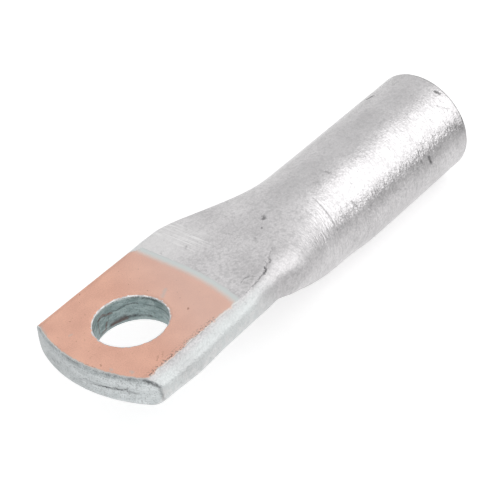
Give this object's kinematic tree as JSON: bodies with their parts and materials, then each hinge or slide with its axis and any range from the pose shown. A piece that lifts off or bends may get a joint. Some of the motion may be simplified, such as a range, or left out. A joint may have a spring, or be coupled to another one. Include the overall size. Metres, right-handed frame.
{
  "type": "cable lug",
  "caption": "Tubular aluminium cable lug: a round barrel crimps on a stranded cable, and a flat palm, sprayed with copper on its contact face, bolts to a copper bar.",
  "frame": {"origin": "centre of the stud hole, on the copper contact face", "axes": "+X runs back along the lug towards the mouth of the cable barrel, +Z out of the copper contact face, +Y across the palm"},
  "size_m": [0.077, 0.024, 0.017],
  "materials": {
    "bare_aluminium": "bare, acid-bright tube aluminium, matte on the pressed neck and fine-wrinkled on the barrel",
    "sprayed_copper": null
  },
  "bodies": {
    "root": {"lug_body": "bare_aluminium", "copper_coat": "sprayed_copper"}
  },
  "joints": []
}
